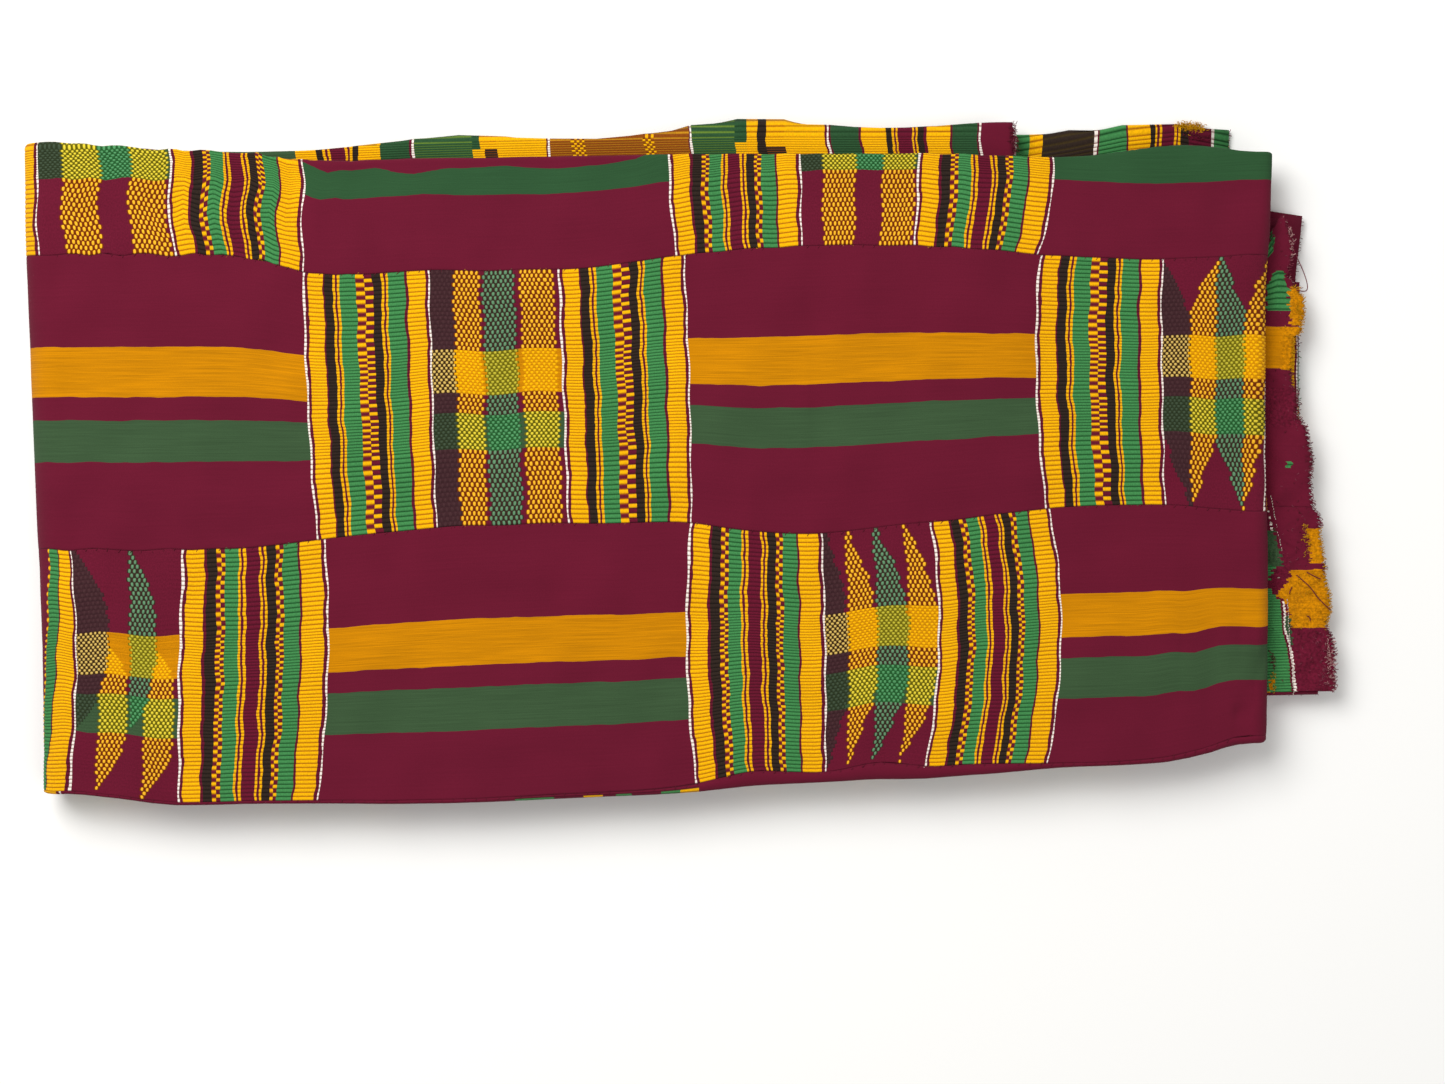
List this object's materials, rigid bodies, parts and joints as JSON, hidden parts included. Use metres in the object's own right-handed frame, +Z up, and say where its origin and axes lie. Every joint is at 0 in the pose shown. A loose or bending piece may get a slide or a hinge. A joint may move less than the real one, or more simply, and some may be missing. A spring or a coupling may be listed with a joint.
{
  "type": "folded kente cloth",
  "caption": "Folded strip-woven cotton cloth, narrow handwoven strips sewn edge to edge, folded flat into a layered rectangle that rests on a shelf or table.",
  "frame": {"origin": "under the middle of the folded cloth, on the surface that it lies on", "axes": "+X along the strips towards the cut ends, +Y across the strips towards the back edge, +Z up through the layers"},
  "size_m": [0.4985, 0.2602, 0.0224],
  "materials": {
    "kente_cotton": "handwoven matt cotton, maroon ground with yellow, green and black weft blocks",
    "sewing_thread": "dull spun cotton thread, dark maroon"
  },
  "bodies": {
    "root": {"strip_1": "kente_cotton", "strip_2": "kente_cotton", "strip_3": "kente_cotton", "strip_4": "kente_cotton", "strip_5": "kente_cotton", "strip_6": "kente_cotton", "strip_7": "kente_cotton", "strip_8": "kente_cotton", "strip_9": "kente_cotton"}
  },
  "joints": []
}
